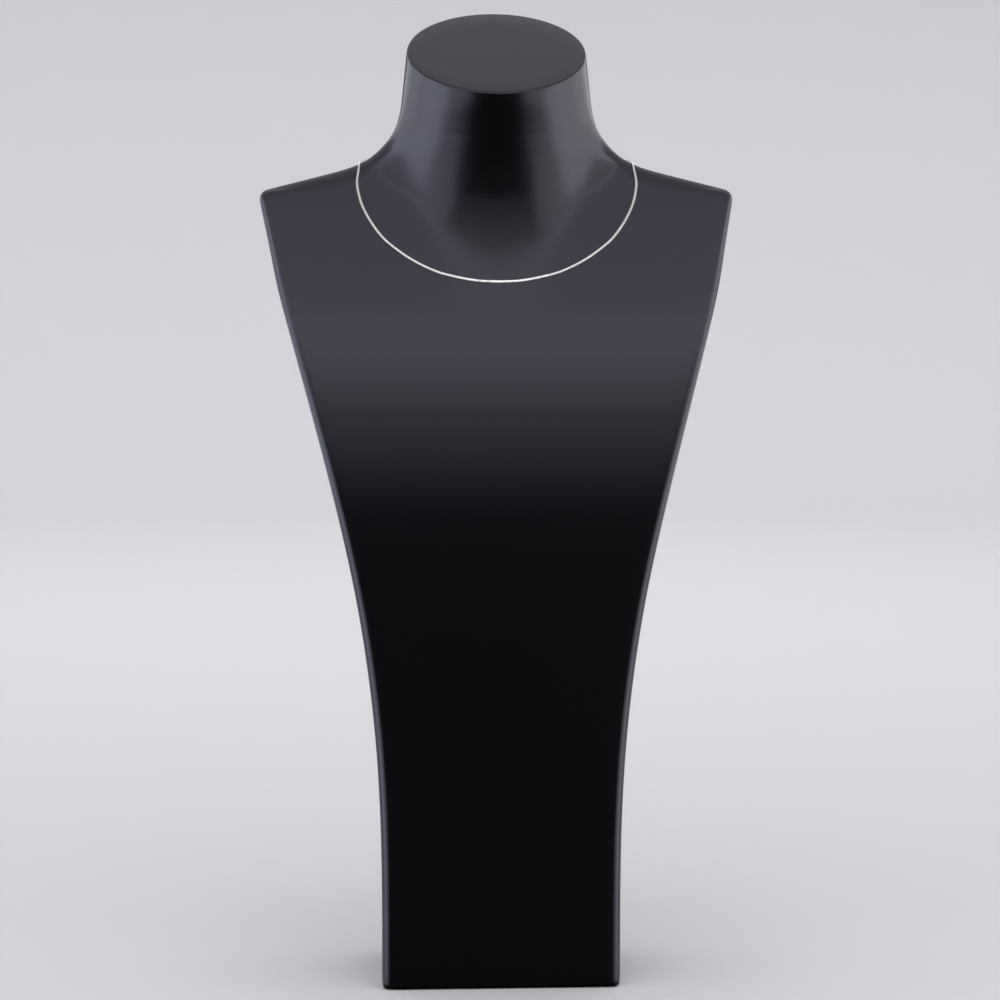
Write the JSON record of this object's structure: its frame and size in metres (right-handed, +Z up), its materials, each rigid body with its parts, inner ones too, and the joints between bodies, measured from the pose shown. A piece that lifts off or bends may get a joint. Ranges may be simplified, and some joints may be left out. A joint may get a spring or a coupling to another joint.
{
  "type": "box chain necklace on a neck bust",
  "caption": "Fine polished box chain necklace closed round the neck of a flat-fronted matte black display bust with a slanted top, standing on its rectangular foot.",
  "frame": {"origin": "middle of the bust's flat foot, on the surface that it stands on", "axes": "+Z up, +X to the right seen from the front, the bust's flat front faces -Y and the clasp lies at the nape towards +Y"},
  "size_m": [0.2464, 0.0959, 0.5033],
  "materials": {
    "bust": "matte black sprayed lacquer with a soft sheen",
    "chain": "polished white metal",
    "clasp": "polished white metal"
  },
  "bodies": {
    "root": {"neck_bust": "bust", "chain": "chain", "jump_ring": "clasp", "clasp": "clasp"}
  },
  "joints": []
}
